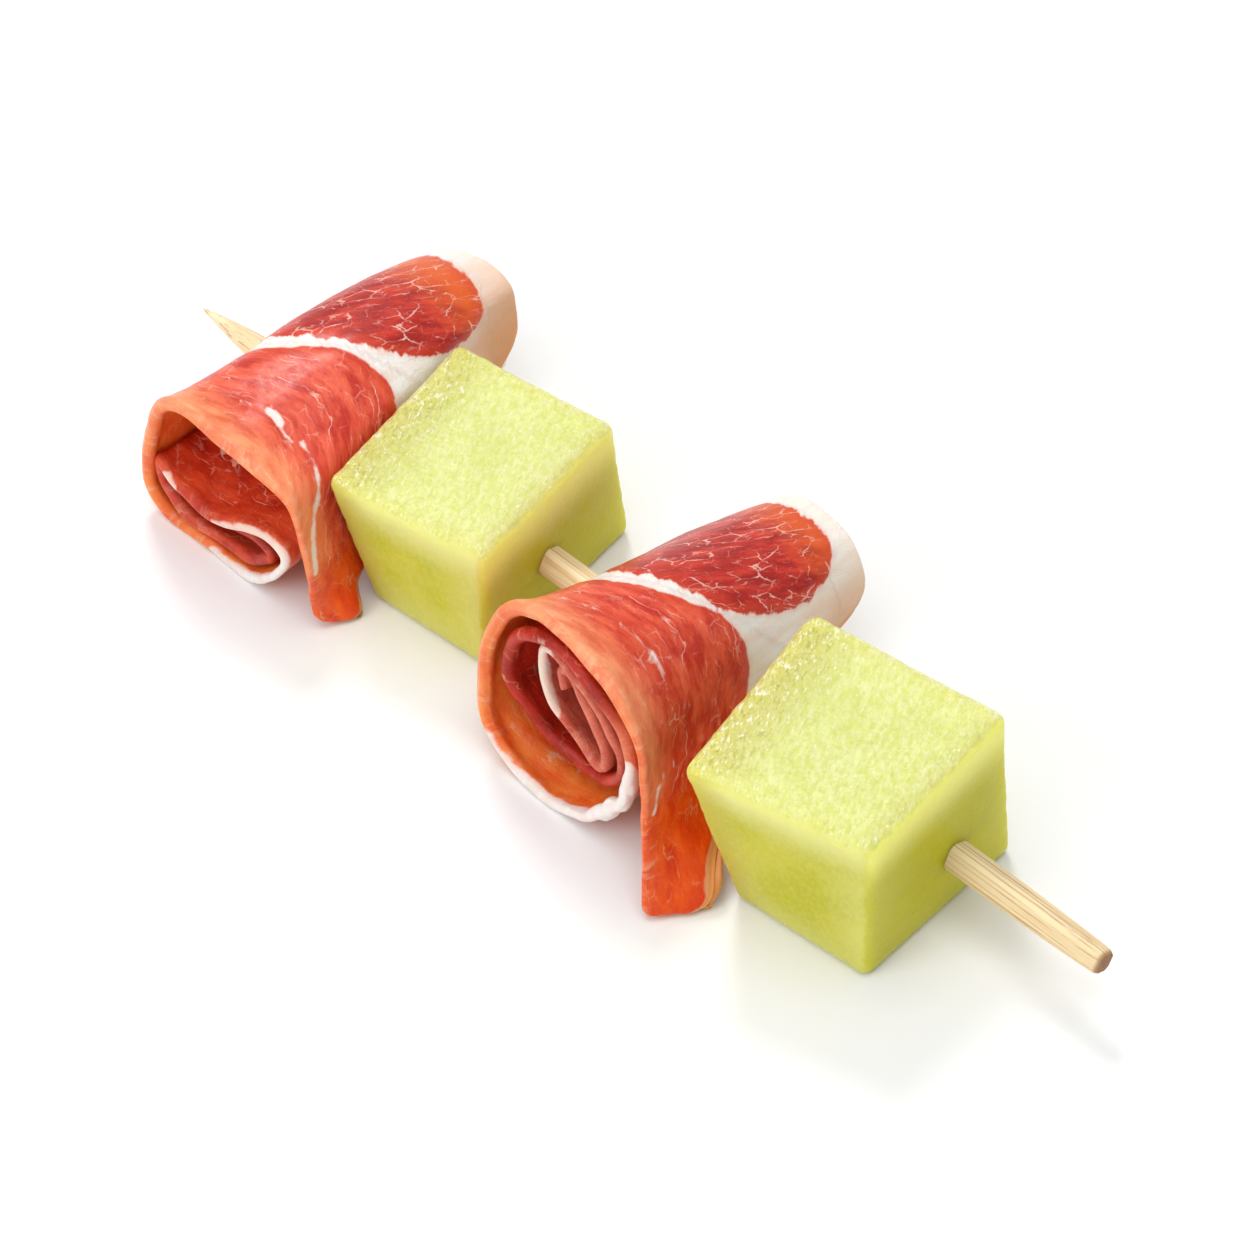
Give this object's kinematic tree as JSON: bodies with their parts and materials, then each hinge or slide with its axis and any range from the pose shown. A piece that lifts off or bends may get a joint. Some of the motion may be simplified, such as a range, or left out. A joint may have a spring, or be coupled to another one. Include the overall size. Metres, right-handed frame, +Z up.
{
  "type": "melon and ham skewer",
  "caption": "Cubes of green melon and rolled slices of dry-cured ham on a pointed bamboo skewer, lying on its side as finger food.",
  "frame": {"origin": "middle of the bounding box at the table, with the food resting on z = 0", "axes": "+X along the skewer towards its blunt end, +Y along the ham rolls towards their fatty far ends, +Z up"},
  "size_m": [0.15, 0.0524, 0.029],
  "materials": {
    "bamboo": "bare straw-coloured bamboo, lengthwise grain",
    "melon": "wet green melon flesh, pale and slightly translucent",
    "ham": "moist cured ham, red muscle with white fat and fine veins"
  },
  "bodies": {
    "root": {"skewer": "bamboo", "melon_cube_1": "melon", "melon_cube_2": "melon", "ham_roll_1": "ham", "ham_roll_2": "ham"}
  },
  "joints": []
}
